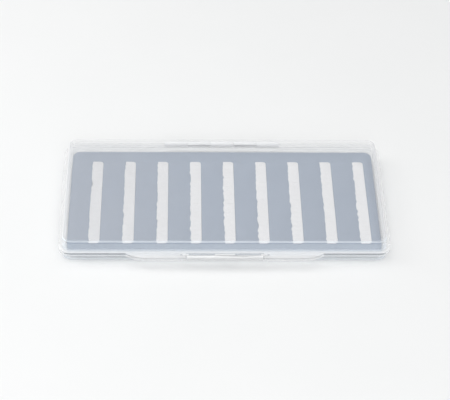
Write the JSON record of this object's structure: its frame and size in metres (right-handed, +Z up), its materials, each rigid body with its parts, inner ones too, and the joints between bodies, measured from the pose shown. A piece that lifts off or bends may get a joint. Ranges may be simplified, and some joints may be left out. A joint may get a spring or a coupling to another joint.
{
  "type": "fly box",
  "caption": "Slim frosted two-shell fly box with a rear-hinged lid, a front latch flap and a slotted foam insert holding white silicone strips.",
  "frame": {"origin": "centre of the tray's flat underside, where the box rests", "axes": "+X along the hinge and the box's length, +Y from the latch to the hinge, +Z up through the lid"},
  "size_m": [0.19, 0.1078, 0.014],
  "materials": {
    "frosted_polypropylene": "frosted, translucent",
    "natural_acetal": "smooth moulded rod, milky white",
    "adhesive": "satin",
    "backing_foam": "matt closed-cell foam",
    "slotted_foam": "matt closed-cell foam",
    "silicone": "satin, off-white"
  },
  "bodies": {
    "tray": {"base_tray": "frosted_polypropylene", "hinge_pin": "natural_acetal", "adhesive_film": "adhesive", "insert_backing": "backing_foam", "slotted_foam": "slotted_foam", "silicone_strip_1": "silicone", "silicone_strip_2": "silicone", "silicone_strip_3": "silicone", "silicone_strip_4": "silicone", "silicone_strip_5": "silicone", "silicone_strip_6": "silicone", "silicone_strip_7": "silicone", "silicone_strip_8": "silicone", "silicone_strip_9": "silicone"},
    "lid": {"lid": "frosted_polypropylene"},
    "latch": {"front_latch": "frosted_polypropylene"}
  },
  "joints": [
    {"name": "lid_hinge", "type": "hinge", "parent": "tray", "child": "lid", "pos_m": [0, 0.0521, 0.00665], "axis": [-1, 0, 0], "range_deg": [0, 180]},
    {"name": "latch_hinge", "type": "hinge", "parent": "lid", "child": "latch", "pos_m": [0, -0.0514, 0.00755], "axis": [-1, 0, 0], "range_deg": [0, 110]}
  ]
}
